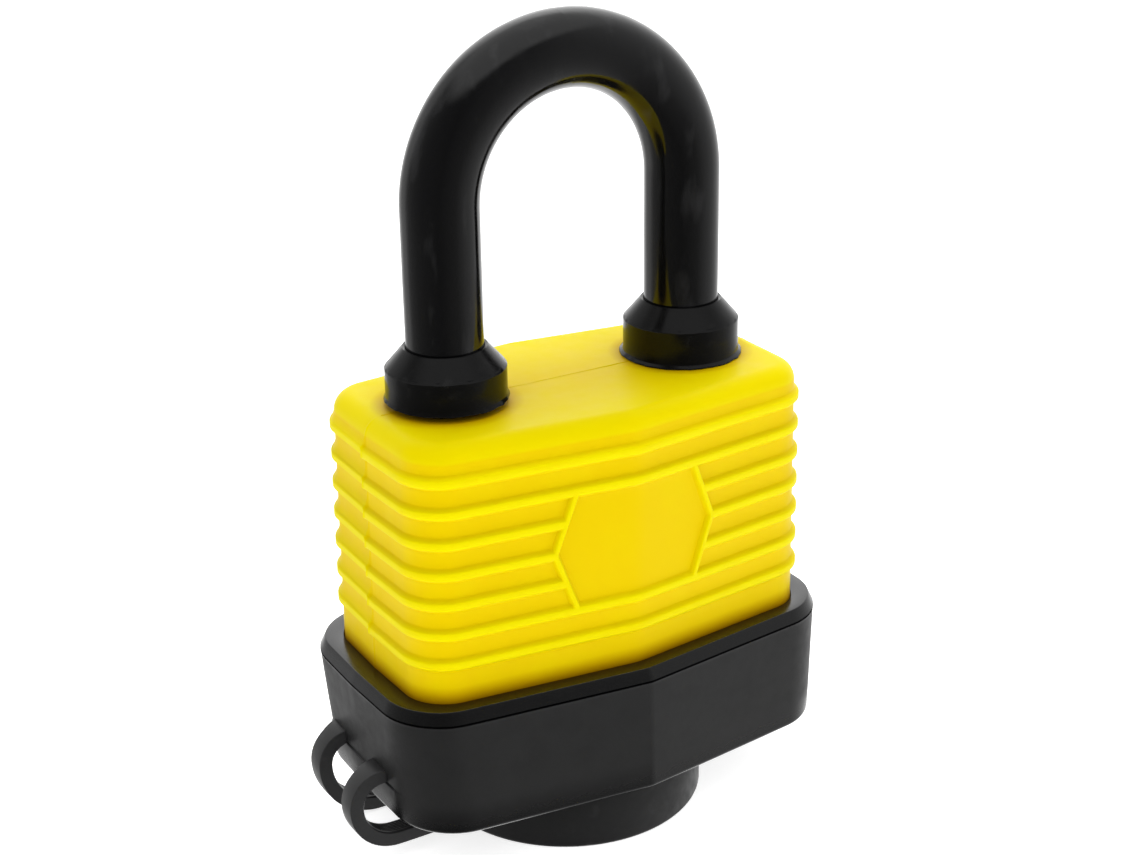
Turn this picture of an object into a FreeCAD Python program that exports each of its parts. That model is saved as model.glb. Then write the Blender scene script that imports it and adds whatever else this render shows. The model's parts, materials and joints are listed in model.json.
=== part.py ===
import FreeCAD, Part
import math
import os
from FreeCAD import Vector

# A covered laminated padlock: riveted steel plates inside a ribbed jacket, a base cup with a
# hinged keyway cap, and a sleeved shackle. Millimetres, +Z up along the shackle legs, +X from the
# heel leg to the toe leg. The origin is on the cap's flat underside, on the key cylinder's axis.

# Shackle
LEG_PITCH = 28.5                        # between the two legs' centrelines
LEG_X = LEG_PITCH / 2
ROD_R = 3.25
SLEEVE_R = 4.0
FIT = 0.02                              # radial gap between pieces that are fitted together
BOW_Z = 68.2                            # where the straight legs meet the bow
LIFT = 12.0                             # shackle travel from shut to open

# Body outline
END_R = 12.0                            # rounding down the middle of each end wall
CAP_TOP_Z = 6.0
BASE_Z = 6.2
FLOOR_Z = 8.0
RIM_Z = 19.4                            # top of the base cup's outer wall
RIM_TOP_Z = 20.65                       # flat top of the rim
JACKET_Z = 8.2
JACKET_TOP_Z = 48.2

# Base cup: width, depth at the end corners, depth at the middle ridge
CUP_BOTTOM = (52.0, 25.9, 32.2)
CUP_BOTTOM_X = 0.4                      # the heel end has more draft, so the bottom sits off centre
CUP_RIM = (53.5, 26.1, 32.6)
CUP_CORNER_R = 7.1
CUP_RIDGE_R = 1.5
CUP_BULGE = 0.35                        # how far the end walls rise to their middle
RIM_INSET = 0.6                         # how far the chamfer leans in under the flat rim
CUP_CLEAR = 0.1                         # gap between cup and jacket
CUP_EDGE_R = 0.5

# Jacket
JACKET_BOTTOM = (48.1, 21.9, 27.5)
JACKET_TOP = (47.05, 22.1, 27.7)
JACKET_CORNER_R = 4.65
JACKET_RIDGE_R = 6.0
JACKET_BULGE = 0.3
JACKET_TOP_WALL = 1.6
JACKET_EDGE_R = 1.9
RIB_COUNT = 7
RIB_MID_Z = 34.8                        # height of the middle rib
RIB_PITCH = 3.27
RIB_RISE = 0.5
RIB_CREST = 0.4                         # half height of the flat crest
RIB_FOOT = 0.8                          # half height at the foot
RIB_SINK = 0.05                         # how far the foot starts inside the wall
PANEL_TIP_X = 9.95                      # the front panel's side points
PANEL_END_X = 7.65                      # its upper and lower corners
PANEL_HALF_Z = 6.1
PANEL_RIB = 0.75
PANEL_REACH_Y = 20.0                    # past the jacket's front and back
LEG_HOLE_R = 4.7

# Collars on the legs
COLLARS = {"heel_collar": (-LEG_X, 48.8, 6.4), "toe_collar": (LEG_X, 48.25, 6.6)}   # x, seat z, lip r
COLLAR_R = 6.2
COLLAR_TOP_R = 4.3
COLLAR_LIP_H = 0.35
COLLAR_CONE_Z = 52.1
COLLAR_TOP_Z = 54.3
COLLAR_SKIRT_R = 4.5
COLLAR_SKIRT_Z = 47.0
SLEEVE_END_Z = 49.0

# Keyway cap and its straps
CAP_X = -0.8
CAP_R = 14.9
CAP_WALL = 1.6
CAP_FLOOR = 1.8
SPIGOT_R = 12.8
SPIGOT_WALL = 1.4
SPIGOT_Z = 7.8
CAP_HOLE_R = 13.0
CAP_EDGE_R = 0.5
STRAP_WIDTH = 2.4
STRAP_T = 1.6
STRAP_MID_Z = 7.4                       # height of the loops' widest point
STRAP_TOP_R = 4.15                      # outer radius above that point
STRAP_ROOT_X = -22.0                    # inside the cup's end wall
STRAP_OVERLAP = 3.0                     # how far a strap is drawn into the cap before it is trimmed
# Each strap's middle y, its widest point's x, and its outer radius below that point
STRAPS = {"cap_strap_front": (-3.75, -29.8, 5.6), "cap_strap_rear": (5.9, -28.9, 7.15)}

# Laminated body
PLATE_COUNT = 15
PLATE_T = 2.5
PLATE_Z = 8.6
PLATE_SIZE = (42.0, 17.2, 22.4)
PLATE_CORNER_R = 3.5
PLATE_RIDGE_R = 3.0
PLATE_BULGE = 0.2
PLATE_CLEAR = 0.15
ROD_HOLE_R = 3.4
ROD_END_GAP = 0.3                       # under each leg's end
RIVET_X, RIVET_Y = 18.0, 5.6
RIVET_R = 1.3
RIVET_HEAD_R = 2.0
RIVET_HEAD_H = 0.4

# Key cylinder
PLUG_R = 3.6
PLUG_Z = 8.4
PLUG_TOP_Z = 33.5
NECK_R = 2.4
SHELL_R = 5.4
CHEST_HALF_X = 2.9                      # the chamber block beside the plug
CHEST_Y = 9.2
SHELL_GAP = 0.1
PIN_COUNT = 5
PIN_Z = 12.8
PIN_PITCH = 2.9
PIN_R = 1.15
KEY_PIN_Y = (0.8, 3.3)
DRIVER_PIN_Y = (3.72, 6.1)
PIN_SPRING_Y = (6.15, 8.35)
CHEST_COVER_T = 0.7
COVER_SLOT = (1.9, 2.2)                 # half width, and reach past the end pins' centres
RUN = 0.05                              # radial gap round pieces that turn or slide
KEYWAY_HALF_X = 0.9
KEYWAY_Y = (-3.1, 1.0)
KEYWAY_TOP_Z = 27.5
CLIP_R = 4.4
CLIP_T = 0.7
CLIP_GROOVE = 0.5                       # depth of the clip's groove in the neck
CLIP_OPENING = 1.2                      # half width of the clip's gap

# Locking cam and bolts, in the plate below the top two
BOLT_PLATE = 12
BOLT_GAP = 0.15                         # above, below and beside the bolts
BOLT_Z = PLATE_Z + BOLT_PLATE * PLATE_T + BOLT_GAP
BOLT_T = PLATE_T - 2 * BOLT_GAP
CAM_SHORT, CAM_LONG = 3.0, 4.2
TANG = 2.4                              # square end of the plug
BOLT_FACE_X = 3.3
BOLT_SHOULDER_X = 8.0
BOLT_TIP_X = LEG_X - ROD_R - 0.3        # drawn back clear of the leg
BOLT_THROW = 1.2
BOLT_HALF_Y = 5.0
NOSE_HALF_Y = 2.1
NOSE_CHAMFER = 0.4
NOTCH_DEPTH = 1.2
NOTCH_CLEAR = 0.45
SPRING_Y = 3.7
SPRING_END_X = 12.4
SPRING_R = 0.8
WIRE_R = 0.17
PIN_SPRING_TURNS = 4
BOLT_SPRING_TURNS = 6
SPRING_GAP = 0.05                       # at each end of a bolt spring
HEEL_END_Z = 23.9
TOE_END_Z = 36.6
END_CHAMFER = 0.6


def rounded_wire(points, radii, z):
    """Closed wire through a convex polygon's corners, each rounded to its own radius."""
    corners = [Vector(x, y, z) for x, y in points]
    count = len(corners)
    arcs = []
    for i, corner in enumerate(corners):
        back = (corners[i - 1] - corner).normalize()
        ahead = (corners[(i + 1) % count] - corner).normalize()
        half = math.acos(max(-1.0, min(1.0, back.dot(ahead)))) / 2
        reach = radii[i] / math.tan(half)
        centre = corner + (back + ahead).normalize() * (radii[i] / math.sin(half))
        middle = centre + (corner - centre).normalize() * radii[i]
        arcs.append((corner + back * reach, middle, corner + ahead * reach))
    edges = []
    for i, (start, middle, end) in enumerate(arcs):
        edges.append(Part.Arc(start, middle, end).toShape())
        edges.append(Part.makeLine(end, arcs[(i + 1) % count][0]))
    return Part.Wire(edges)


def body_wire(size, grow, z, corner_r, ridge_r, bulge):
    """The padlock's plan outline: a long hexagon, its ends bulging slightly, grown all round."""
    width, end_depth, mid_depth = (value + 2 * grow for value in size)
    x, y, ridge = width / 2, end_depth / 2, mid_depth / 2
    points = [(x, 0), (x - bulge, y), (0, ridge), (bulge - x, y),
              (-x, 0), (bulge - x, -y), (0, -ridge), (x - bulge, -y)]
    corner = corner_r + grow
    radii = [END_R, corner, ridge_r, corner] * 2
    return rounded_wire(points, radii, z)


def loft(wires):
    return Part.makeLoft(wires, True, True)


def prism(wire, height):
    return Part.Face(wire).extrude(Vector(0, 0, height))


def cylinder(radius, z0, z1, x=0.0, y=0.0):
    return Part.makeCylinder(radius, z1 - z0, Vector(x, y, z0))


def box(x0, x1, y0, y1, z0, z1):
    return Part.makeBox(x1 - x0, y1 - y0, z1 - z0, Vector(x0, y0, z0))


def jacket_size(z):
    """Width, end depth and middle depth of the jacket's wall at a height."""
    k = (z - JACKET_Z) / (JACKET_TOP_Z - JACKET_Z)
    return tuple(a + (b - a) * k for a, b in zip(JACKET_BOTTOM, JACKET_TOP))


def jacket_wire(z, grow):
    return body_wire(jacket_size(z), grow, z, JACKET_CORNER_R, JACKET_RIDGE_R, JACKET_BULGE)


def panel_prism(shrink):
    """Hexagonal prism through the jacket from front to back, for the plain panel."""
    tip, end, half = PANEL_TIP_X - shrink, PANEL_END_X - shrink, PANEL_HALF_Z
    points = [(tip, 0), (end, half), (-end, half), (-tip, 0), (-end, -half), (end, -half)]
    loop = [Vector(x, -PANEL_REACH_Y, RIB_MID_Z + z) for x, z in points]
    return Part.Face(Part.makePolygon(loop + loop[:1])).extrude(Vector(0, 2 * PANEL_REACH_Y, 0))


def jacket_rib(z):
    levels = [(-RIB_FOOT, -RIB_SINK), (-RIB_CREST, RIB_RISE), (RIB_CREST, RIB_RISE), (RIB_FOOT, -RIB_SINK)]
    return loft([jacket_wire(z + dz, rise) for dz, rise in levels])


def jacket():
    shell = loft([jacket_wire(JACKET_Z, 0), jacket_wire(JACKET_TOP_Z, 0)])
    top_edges = [e for e in shell.Edges if e.BoundBox.ZMin > JACKET_TOP_Z - 0.01]
    shell = shell.makeFillet(JACKET_EDGE_R, top_edges)
    panel = panel_prism(0)
    low, high = RIB_MID_Z - PANEL_HALF_Z, RIB_MID_Z + PANEL_HALF_Z
    frame = loft([jacket_wire(low, RIB_RISE), jacket_wire(high, RIB_RISE)])
    shell = shell.fuse(frame.common(panel).cut(panel_prism(PANEL_RIB)))
    for i in range(RIB_COUNT):
        step = i - RIB_COUNT // 2
        rib = jacket_rib(RIB_MID_Z + step * RIB_PITCH)
        shell = shell.fuse(rib.cut(panel) if abs(step) < 2 else rib)
    cavity = prism(plate_wire(JACKET_Z - 1, PLATE_CLEAR), JACKET_TOP_Z - JACKET_TOP_WALL - JACKET_Z + 1)
    shell = shell.cut(cavity)
    for x in (-LEG_X, LEG_X):
        shell = shell.cut(cylinder(LEG_HOLE_R, JACKET_TOP_Z - 3, JACKET_TOP_Z + 1, x))
    return shell.removeSplitter()


def cup_outside():
    """The base cup's outer shape, solid: drafted wall, then the chamfer up to the flat rim."""
    style = (CUP_CORNER_R, CUP_RIDGE_R, CUP_BULGE)
    bottom = body_wire(CUP_BOTTOM, 0, BASE_Z, *style)
    bottom.translate(Vector(CUP_BOTTOM_X, 0, 0))
    wall = loft([bottom, body_wire(CUP_RIM, 0, RIM_Z, *style)])
    wall = wall.makeFillet(CUP_EDGE_R, [e for e in wall.Edges if e.BoundBox.ZMax < BASE_Z + 0.01])
    rim = loft([body_wire(CUP_RIM, 0, RIM_Z, *style),
                body_wire(CUP_RIM, -RIM_INSET, RIM_TOP_Z, *style)])
    return wall.fuse(rim)


def base_cup():
    cup = cup_outside().cut(loft([jacket_wire(FLOOR_Z, CUP_CLEAR), jacket_wire(RIM_TOP_Z + 1, CUP_CLEAR)]))
    return cup.cut(cylinder(CAP_HOLE_R, BASE_Z - 1, FLOOR_Z + 1, CAP_X)).removeSplitter()


def keyway_cap():
    drum = cylinder(CAP_R, 0, CAP_TOP_Z, CAP_X)
    drum = drum.makeFillet(CAP_EDGE_R, [e for e in drum.Edges if e.BoundBox.ZMax < 0.01])
    drum = drum.fuse(cylinder(SPIGOT_R, CAP_TOP_Z - 1, SPIGOT_Z, CAP_X))
    return drum.cut(cylinder(SPIGOT_R - SPIGOT_WALL, CAP_FLOOR, SPIGOT_Z + 1, CAP_X)).removeSplitter()


def strap_edge(reach_x, outer_low_r, inset):
    """One side of a strap in the XZ plane, from the cup's end wall round and under to the cap."""
    top_r, low_r = STRAP_TOP_R - inset, outer_low_r - inset
    left = reach_x + inset
    top_x, low_x = left + top_r, left + low_r
    s = math.sqrt(0.5)
    top = Vector(top_x, 0, STRAP_MID_Z + top_r)
    side = Vector(left, 0, STRAP_MID_Z)
    low = Vector(low_x, 0, STRAP_MID_Z - low_r)
    top_middle = Vector(top_x - s * top_r, 0, STRAP_MID_Z + s * top_r)
    low_middle = Vector(low_x - s * low_r, 0, STRAP_MID_Z - s * low_r)
    root = Vector(STRAP_ROOT_X, 0, top.z)
    end = Vector(CAP_X - CAP_R + STRAP_OVERLAP, 0, low.z)
    return root, end, [Part.makeLine(root, top),
                       Part.Arc(top, top_middle, side).toShape(),
                       Part.Arc(side, low_middle, low).toShape(),
                       Part.makeLine(low, end)]


def cap_strap(mid_y, reach_x, low_r):
    root_out, end_out, outer = strap_edge(reach_x, low_r, 0)
    root_in, end_in, inner = strap_edge(reach_x, low_r, STRAP_T)
    loop = outer + [Part.makeLine(end_out, end_in)] + inner[::-1] + [Part.makeLine(root_in, root_out)]
    wire = Part.Wire(Part.__sortEdges__(loop))
    strap = Part.Face(wire).extrude(Vector(0, STRAP_WIDTH, 0))
    strap.translate(Vector(0, mid_y - STRAP_WIDTH / 2, 0))
    strap = strap.cut(cup_outside()).cut(cylinder(CAP_R, -1, CAP_TOP_Z + 1, CAP_X))
    return max(strap.Solids, key=lambda solid: solid.Volume)


def shackle_rod(radius, heel_z, toe_z):
    """A U-shaped rod of one radius, with its two ends at their own heights."""
    bow = Part.makeTorus(LEG_X, radius, Vector(0, 0, BOW_Z), Vector(0, 1, 0))
    bow = bow.common(box(-30, 30, -10, 10, BOW_Z, BOW_Z + 40))
    heel = cylinder(radius, heel_z, BOW_Z, -LEG_X)
    toe = cylinder(radius, toe_z, BOW_Z, LEG_X)
    return bow.fuse(heel).fuse(toe).removeSplitter()


def shackle():
    rod = shackle_rod(ROD_R, HEEL_END_Z, TOE_END_Z)
    notch_z0, notch_z1 = BOLT_Z - NOTCH_CLEAR, BOLT_Z + BOLT_T + NOTCH_CLEAR
    floor_x = LEG_X - ROD_R + NOTCH_DEPTH
    rod = rod.cut(box(-floor_x, floor_x, -4, 4, notch_z0, notch_z1))
    neck = cylinder(ROD_R + 1, notch_z0 - LIFT, notch_z1 - LIFT, -LEG_X)
    rod = rod.cut(neck.cut(cylinder(ROD_R - NOTCH_DEPTH, 0, BOW_Z, -LEG_X)))
    for z in (HEEL_END_Z, TOE_END_Z):
        ends = [e for e in rod.Edges if abs(e.BoundBox.ZMax - z) < 0.01 and abs(e.BoundBox.ZMin - z) < 0.01]
        rod = rod.makeChamfer(END_CHAMFER, ends)
    return rod


def shackle_sleeve():
    outer = shackle_rod(SLEEVE_R, SLEEVE_END_Z, SLEEVE_END_Z)
    return outer.cut(shackle_rod(ROD_R + FIT, SLEEVE_END_Z - 1, SLEEVE_END_Z - 1))


def collar(x, seat_z, lip_r):
    lip = cylinder(lip_r, seat_z, seat_z + COLLAR_LIP_H, x)
    barrel = cylinder(COLLAR_R, seat_z, COLLAR_CONE_Z, x)
    cone = Part.makeCone(COLLAR_R, COLLAR_TOP_R, COLLAR_TOP_Z - COLLAR_CONE_Z, Vector(x, 0, COLLAR_CONE_Z))
    skirt = cylinder(COLLAR_SKIRT_R, COLLAR_SKIRT_Z, seat_z, x)
    ring = lip.fuse([barrel, cone, skirt])
    ring = ring.cut(cylinder(ROD_R + FIT, COLLAR_SKIRT_Z - 1, COLLAR_TOP_Z + 1, x))
    return ring.cut(cylinder(SLEEVE_R + FIT, SLEEVE_END_Z - FIT, COLLAR_TOP_Z + 1, x)).removeSplitter()


def plate_wire(z, grow):
    return body_wire(PLATE_SIZE, grow, z, PLATE_CORNER_R, PLATE_RIDGE_R, PLATE_BULGE)


def cylinder_shape(grow, z0, z1):
    """The key cylinder's outside: round about the plug, with the chamber block on its +Y side."""
    block = box(-CHEST_HALF_X - grow, CHEST_HALF_X + grow, 0, CHEST_Y + grow, z0, z1)
    return cylinder(SHELL_R + grow, z0, z1).fuse(block).removeSplitter()


def bolt_pocket(z0, z1):
    """Room for the cam, both bolts through their throw, and the springs beside the noses."""
    end_x = BOLT_SHOULDER_X + BOLT_THROW + BOLT_GAP
    half_y, nose_y = BOLT_HALF_Y + BOLT_GAP, NOSE_HALF_Y + BOLT_GAP
    room = box(-end_x, end_x, -half_y, half_y, z0, z1)
    room = room.fuse(box(-LEG_X, LEG_X, -nose_y, nose_y, z0, z1))
    for side in (-1, 1):
        y0, y1 = sorted((side * NOSE_HALF_Y, side * (SPRING_Y + SPRING_R + BOLT_GAP)))
        room = room.fuse(box(-SPRING_END_X, SPRING_END_X, y0, y1, z0, z1))
    return room.removeSplitter()


def plate(index):
    z0 = PLATE_Z + index * PLATE_T
    z1 = z0 + PLATE_T
    sheet = prism(plate_wire(z0, 0), PLATE_T)
    for x in (-RIVET_X, RIVET_X):
        for y in (-RIVET_Y, RIVET_Y):
            sheet = sheet.cut(cylinder(RIVET_R + FIT, z0 - 1, z1 + 1, x, y))
    for x, end_z in ((-LEG_X, HEEL_END_Z), (LEG_X, TOE_END_Z)):
        if z0 < end_z < z1:
            sheet = sheet.cut(cylinder(ROD_HOLE_R, end_z - ROD_END_GAP, z1 + 1, x))
        elif z0 >= end_z:
            sheet = sheet.cut(cylinder(ROD_HOLE_R, z0 - 1, z1 + 1, x))
    if z1 <= PLUG_TOP_Z + 0.2:
        sheet = sheet.cut(cylinder_shape(SHELL_GAP, z0 - 1, z1 + 1))
    elif index == BOLT_PLATE:
        sheet = sheet.cut(bolt_pocket(z0 - 1, z1 + 1))
    elif index < BOLT_PLATE:
        bore = CLIP_R + 0.2 if z0 < PLUG_TOP_Z + 0.2 else NECK_R + 0.3
        sheet = sheet.cut(cylinder(bore, z0 - 1, z1 + 1))
    return sheet


def body_rivets():
    low, high = PLATE_Z, PLATE_Z + PLATE_COUNT * PLATE_T
    rivets = []
    for x in (-RIVET_X, RIVET_X):
        for y in (-RIVET_Y, RIVET_Y):
            shank = cylinder(RIVET_R, low - RIVET_HEAD_H, high + RIVET_HEAD_H, x, y)
            heads = [cylinder(RIVET_HEAD_R, low - RIVET_HEAD_H, low, x, y),
                     cylinder(RIVET_HEAD_R, high, high + RIVET_HEAD_H, x, y)]
            rivets.append(shank.fuse(heads).removeSplitter())
    return Part.makeCompound(rivets)


def pin_heights():
    return [PIN_Z + i * PIN_PITCH for i in range(PIN_COUNT)]


def along_y(radius, y0, y1, z):
    return Part.makeCylinder(radius, y1 - y0, Vector(0, y0, z), Vector(0, 1, 0))


def cover_slab(shrink, y0, y1):
    """The slot for the chamber cover, shrunk all round its face, between two depths."""
    half, reach = (value - shrink for value in COVER_SLOT)
    return box(-half, half, y0, y1, PIN_Z - reach, pin_heights()[-1] + reach)


def cylinder_shell():
    shell = cylinder_shape(0, PLATE_Z, PLUG_TOP_Z - 0.1)
    shell = shell.cut(cylinder(PLUG_R + RUN, PLATE_Z - 1, PLUG_TOP_Z + 1))
    for z in pin_heights():
        shell = shell.cut(along_y(PIN_R + RUN, 0, CHEST_Y + 1, z))
    return shell.cut(cover_slab(0, CHEST_Y - CHEST_COVER_T, CHEST_Y + 1))


def chamber_cover():
    return cover_slab(FIT, CHEST_Y - CHEST_COVER_T + FIT, CHEST_Y)


def pins(span):
    return Part.makeCompound([along_y(PIN_R, span[0], span[1], z) for z in pin_heights()])


def plug():
    core = cylinder(PLUG_R, PLUG_Z, PLUG_TOP_Z).fuse(cylinder(NECK_R, PLUG_TOP_Z, BOLT_Z - 0.1))
    half = TANG / 2
    core = core.fuse(box(-half, half, -half, half, BOLT_Z - 1, BOLT_Z + BOLT_T)).removeSplitter()
    core = core.cut(box(-KEYWAY_HALF_X, KEYWAY_HALF_X, KEYWAY_Y[0], KEYWAY_Y[1], PLUG_Z - 1, KEYWAY_TOP_Z))
    for z in pin_heights():
        core = core.cut(along_y(PIN_R + RUN, 0, PLUG_R + 1, z))
    return core.cut(cylinder(NECK_R + 1, PLUG_TOP_Z + 0.1, PLUG_TOP_Z + 0.1 + CLIP_T + 0.1).cut(
        cylinder(NECK_R - CLIP_GROOVE, 0, BOLT_Z)))


def plug_clip():
    z0 = PLUG_TOP_Z + 0.15
    ring = cylinder(CLIP_R, z0, z0 + CLIP_T).cut(cylinder(NECK_R - CLIP_GROOVE + FIT, z0 - 1, z0 + 2))
    return ring.cut(box(-CLIP_OPENING, CLIP_OPENING, -CLIP_R - 1, 0, z0 - 1, z0 + 2))


def locking_cam():
    ellipse = Part.Ellipse(Vector(0, 0, BOLT_Z), CAM_LONG, CAM_SHORT)
    face = Part.Face(Part.Wire([ellipse.toShape()]))
    cam = face.extrude(Vector(0, 0, BOLT_T))
    cam.rotate(Vector(0, 0, 0), Vector(0, 0, 1), 90)
    half = TANG / 2 + FIT
    return cam.cut(box(-half, half, -half, half, BOLT_Z - 1, BOLT_Z + BOLT_T + 1))


def bolt(side):
    """A locking bolt on one side (-1 heel, 1 toe), drawn back clear of the leg."""
    block = box(BOLT_FACE_X, BOLT_SHOULDER_X, -BOLT_HALF_Y, BOLT_HALF_Y, BOLT_Z, BOLT_Z + BOLT_T)
    nose = box(BOLT_SHOULDER_X - 1, BOLT_TIP_X, -NOSE_HALF_Y, NOSE_HALF_Y, BOLT_Z, BOLT_Z + BOLT_T)
    tip = [e for e in nose.Edges if e.BoundBox.XMin > BOLT_TIP_X - 0.01 and e.BoundBox.YLength > 1]
    nose = nose.makeChamfer(NOSE_CHAMFER, tip)
    piece = block.fuse(nose).removeSplitter()
    if side < 0:
        piece.rotate(Vector(0, 0, 0), Vector(0, 0, 1), 180)
    return piece


def coil(start, direction, length, radius, wire_r, turns):
    """A compression spring: a round wire swept along a helix from start towards direction."""
    pitch = (length - 2 * wire_r) / turns
    helix = Part.makeHelix(pitch, length - 2 * wire_r, radius - wire_r)
    profile = Part.Wire([Part.makeCircle(wire_r, Vector(radius - wire_r, 0, 0), Vector(0, 1, 0))])
    spring = Part.Wire(helix.Edges).makePipeShell([profile], True, True)
    spring.translate(Vector(0, 0, wire_r))
    spring.Placement = FreeCAD.Placement(
        start, FreeCAD.Rotation(Vector(0, 0, 1), direction)).multiply(spring.Placement)
    return spring


def pin_springs():
    length = PIN_SPRING_Y[1] - PIN_SPRING_Y[0]
    return Part.makeCompound([coil(Vector(0, PIN_SPRING_Y[0], z), Vector(0, 1, 0), length, PIN_R - 0.1,
                                   WIRE_R, PIN_SPRING_TURNS) for z in pin_heights()])


def bolt_springs(side):
    x = BOLT_SHOULDER_X + SPRING_GAP
    length = SPRING_END_X - SPRING_GAP - x
    z = BOLT_Z + BOLT_T / 2
    return Part.makeCompound([coil(Vector(side * x, y, z), Vector(side, 0, 0), length, SPRING_R,
                                   WIRE_R, BOLT_SPRING_TURNS) for y in (-SPRING_Y, SPRING_Y)])


def pieces():
    """Every node by name."""
    nodes = {
        "jacket": jacket(),
        "base_cup": base_cup(),
        "keyway_cap": keyway_cap(),
        "shackle": shackle(),
        "shackle_sleeve": shackle_sleeve(),
        "body_rivets": body_rivets(),
        "cylinder_shell": cylinder_shell(),
        "chamber_cover": chamber_cover(),
        "plug": plug(),
        "plug_clip": plug_clip(),
        "locking_cam": locking_cam(),
        "key_pins": pins(KEY_PIN_Y),
        "driver_pins": pins(DRIVER_PIN_Y),
        "pin_springs": pin_springs(),
        "heel_bolt": bolt(-1),
        "toe_bolt": bolt(1),
        "heel_bolt_springs": bolt_springs(-1),
        "toe_bolt_springs": bolt_springs(1),
    }
    for name, (x, seat_z, lip_r) in COLLARS.items():
        nodes[name] = collar(x, seat_z, lip_r)
    for name, (mid_y, reach_x, low_r) in STRAPS.items():
        nodes[name] = cap_strap(mid_y, reach_x, low_r)
    for index in range(PLATE_COUNT):
        nodes["plate_%02d" % (index + 1)] = plate(index)
    return nodes


os.makedirs("parts", exist_ok=True)
for name, shape in pieces().items():
    solids = len(shape.Solids)
    print("%-20s solids %2d valid %s volume %9.1f" % (name, solids, shape.isValid(), shape.Volume))
    shape.exportStep(os.path.join("parts", name + ".step"))
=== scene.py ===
"""A covered laminated padlock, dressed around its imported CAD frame.

The ribbed jacket, base cup, keyway cap, straps, collars and shackle sleeve are modelled here and stand for
their plain CAD solids. The metal inside keeps its CAD shape and takes a finish. Sizes are in millimetres, in
the CAD's own frame: +Z up the shackle legs, +X from the heel leg to the toe leg, the origin under the cap.
"""
import json
import logging
import math
from dataclasses import dataclass
from enum import Enum
from typing import Iterable, Sequence

import bmesh
import bpy
from bmesh.types import BMEdge, BMesh, BMVert
from mathutils import Matrix, Vector, noise


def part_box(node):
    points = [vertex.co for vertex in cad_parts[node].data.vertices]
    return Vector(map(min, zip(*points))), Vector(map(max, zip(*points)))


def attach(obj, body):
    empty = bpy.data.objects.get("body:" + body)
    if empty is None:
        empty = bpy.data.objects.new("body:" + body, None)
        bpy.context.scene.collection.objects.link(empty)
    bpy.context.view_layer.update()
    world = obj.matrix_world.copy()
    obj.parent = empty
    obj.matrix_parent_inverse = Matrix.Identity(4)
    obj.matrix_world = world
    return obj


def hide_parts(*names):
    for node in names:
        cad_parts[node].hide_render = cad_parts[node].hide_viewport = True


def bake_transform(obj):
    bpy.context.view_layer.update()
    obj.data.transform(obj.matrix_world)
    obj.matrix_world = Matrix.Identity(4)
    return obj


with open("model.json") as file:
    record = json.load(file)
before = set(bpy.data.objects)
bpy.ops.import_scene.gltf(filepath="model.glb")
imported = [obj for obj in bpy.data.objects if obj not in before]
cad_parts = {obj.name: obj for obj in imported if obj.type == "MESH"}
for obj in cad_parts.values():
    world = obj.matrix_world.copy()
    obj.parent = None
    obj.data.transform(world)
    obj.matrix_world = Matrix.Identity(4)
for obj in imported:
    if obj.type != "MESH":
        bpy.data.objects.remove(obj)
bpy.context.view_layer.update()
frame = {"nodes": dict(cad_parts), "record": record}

LOG = logging.getLogger("padlock")
MM = 0.001                      # metres in a millimetre
MERGE = 1e-4                    # vertices closer than this are one, in millimetres
SHARP_ANGLE = math.radians(38)  # edges that turn more than this are drawn crisp
ROUND = math.tau
ACROSS = 0.9                    # a direction's share of an axis, above which it faces along it
MIDDLE = 0.01                   # nearer the padlock's middle plane than this is on it, in millimetres

Point = tuple[float, float]
Socket = bpy.types.NodeSocket


class Body(Enum):
    """The CAD bodies that pieces ride on."""

    BODY = "body"
    SHACKLE = "shackle"
    CAP = "cap"


# ---- helpers

def node_box(node: str) -> tuple[Vector, Vector]:
    """Find a CAD node's extent.

    Args:
        node: The CAD node's name.

    Returns:
        Its lowest and highest corners, in millimetres.
    """
    low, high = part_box(node)
    return low / MM, high / MM


def ease(value: float, start: float, end: float) -> float:
    """Blend smoothly from 0 at start to 1 at end."""
    t = min(1.0, max(0.0, (value - start) / (end - start)))
    return t * t * (3 - 2 * t)


def ripple(x: float, y: float, z: float, size: float) -> float:
    """Give repeatable smooth unevenness between -1 and 1, with bumps about size across."""
    return noise.noise(Vector((x, y, z)) / size)


def arc(radius: float, start: float, end: float, steps: int) -> list[Point]:
    """List points on a circle about the origin, angles in degrees, both ends included."""
    turns = [math.radians(start + (end - start) * i / steps) for i in range(steps + 1)]
    return [(radius * math.cos(a), radius * math.sin(a)) for a in turns]


def loop_edges(ring: Sequence[BMVert]) -> list[BMEdge]:
    """Collect the edges that join a ring's vertices in order."""
    pairs = zip(ring, [*ring[1:], ring[0]])
    return [next(e for e in a.link_edges if e.other_vert(a) is b) for a, b in pairs]


def grow_edges(bm: BMesh, edges: Iterable[BMEdge], move: Vector) -> list[BMEdge]:
    """Extrude edges and shift the new ones.

    Args:
        bm: The mesh.
        edges: The edges to extrude.
        move: How far the new edges lie from the old.

    Returns:
        The new edges.
    """
    made = bmesh.ops.extrude_edge_only(bm, edges=list(edges))["geom"]
    bmesh.ops.translate(bm, verts=[g for g in made if isinstance(g, BMVert)], vec=move)
    return [g for g in made if isinstance(g, BMEdge)]


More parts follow.
